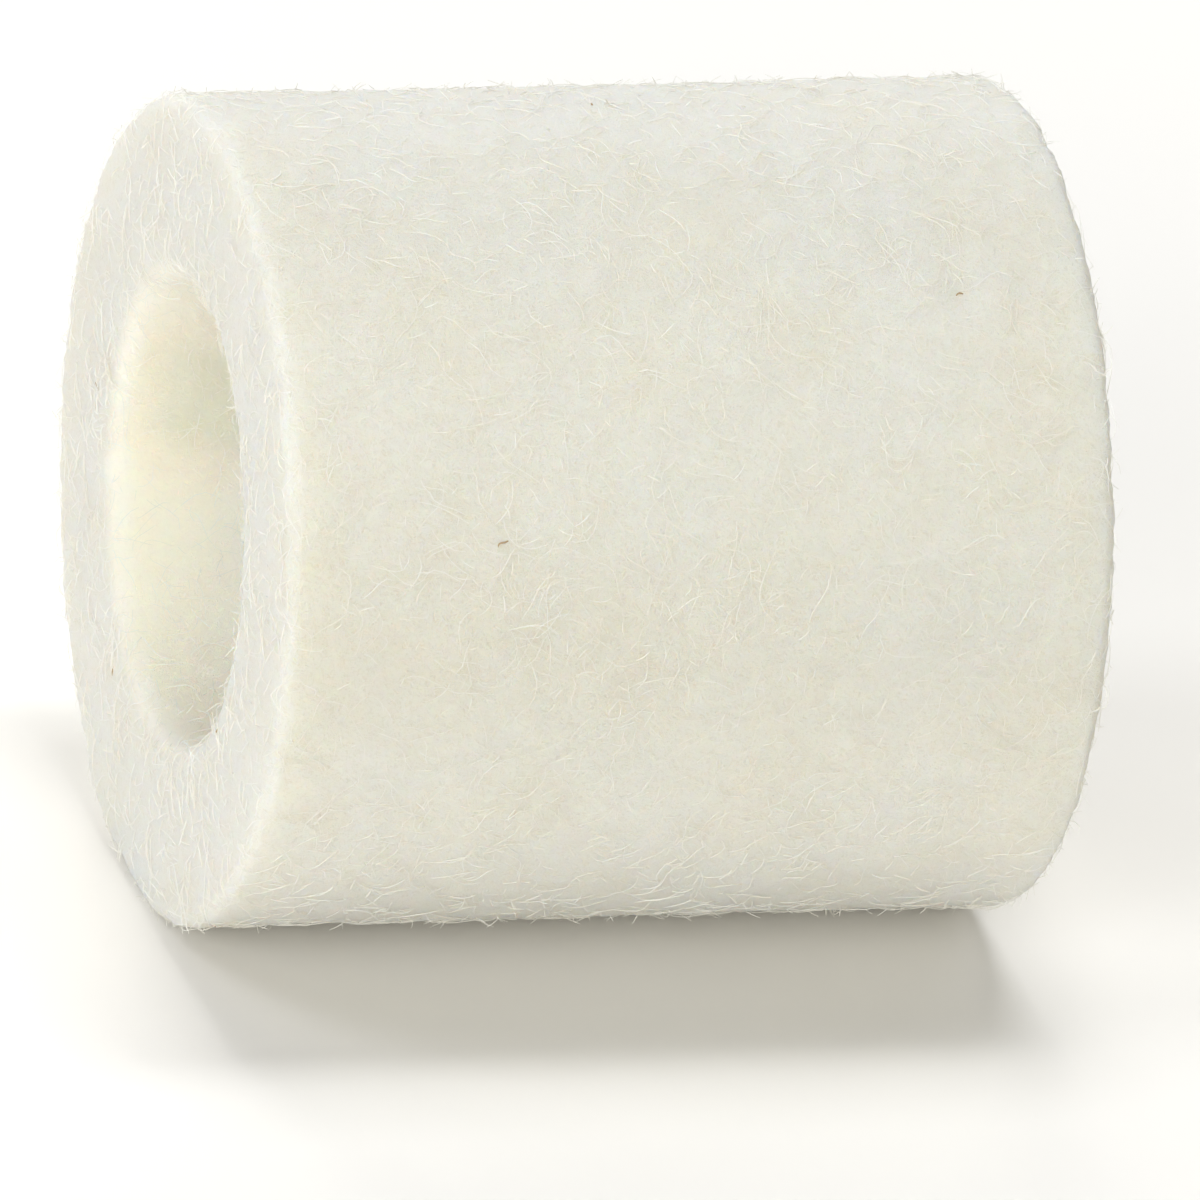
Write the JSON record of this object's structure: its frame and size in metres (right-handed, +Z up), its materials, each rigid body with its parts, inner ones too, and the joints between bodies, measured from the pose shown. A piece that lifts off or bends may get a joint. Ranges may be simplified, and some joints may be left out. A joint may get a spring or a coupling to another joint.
{
  "type": "felt polishing wheel",
  "caption": "Short pressed-felt cylinder with a flared central hole and a glued-in bush that slides onto a spindle, for polishing stones.",
  "frame": {"origin": "centre of the wheel, on its axis and midway between the end faces", "axes": "+Y along the wheel's axis, +Z up; the wheel lies on its curved side with a mouth facing -Y"},
  "size_m": [0.0254, 0.0262, 0.0254],
  "materials": {
    "felt": "matte pressed wool felt, undyed cream white",
    "bush_nylon": "satin turned nylon, natural ivory"
  },
  "bodies": {
    "root": {"felt_body": "felt", "bore_bush": "bush_nylon"}
  },
  "joints": []
}
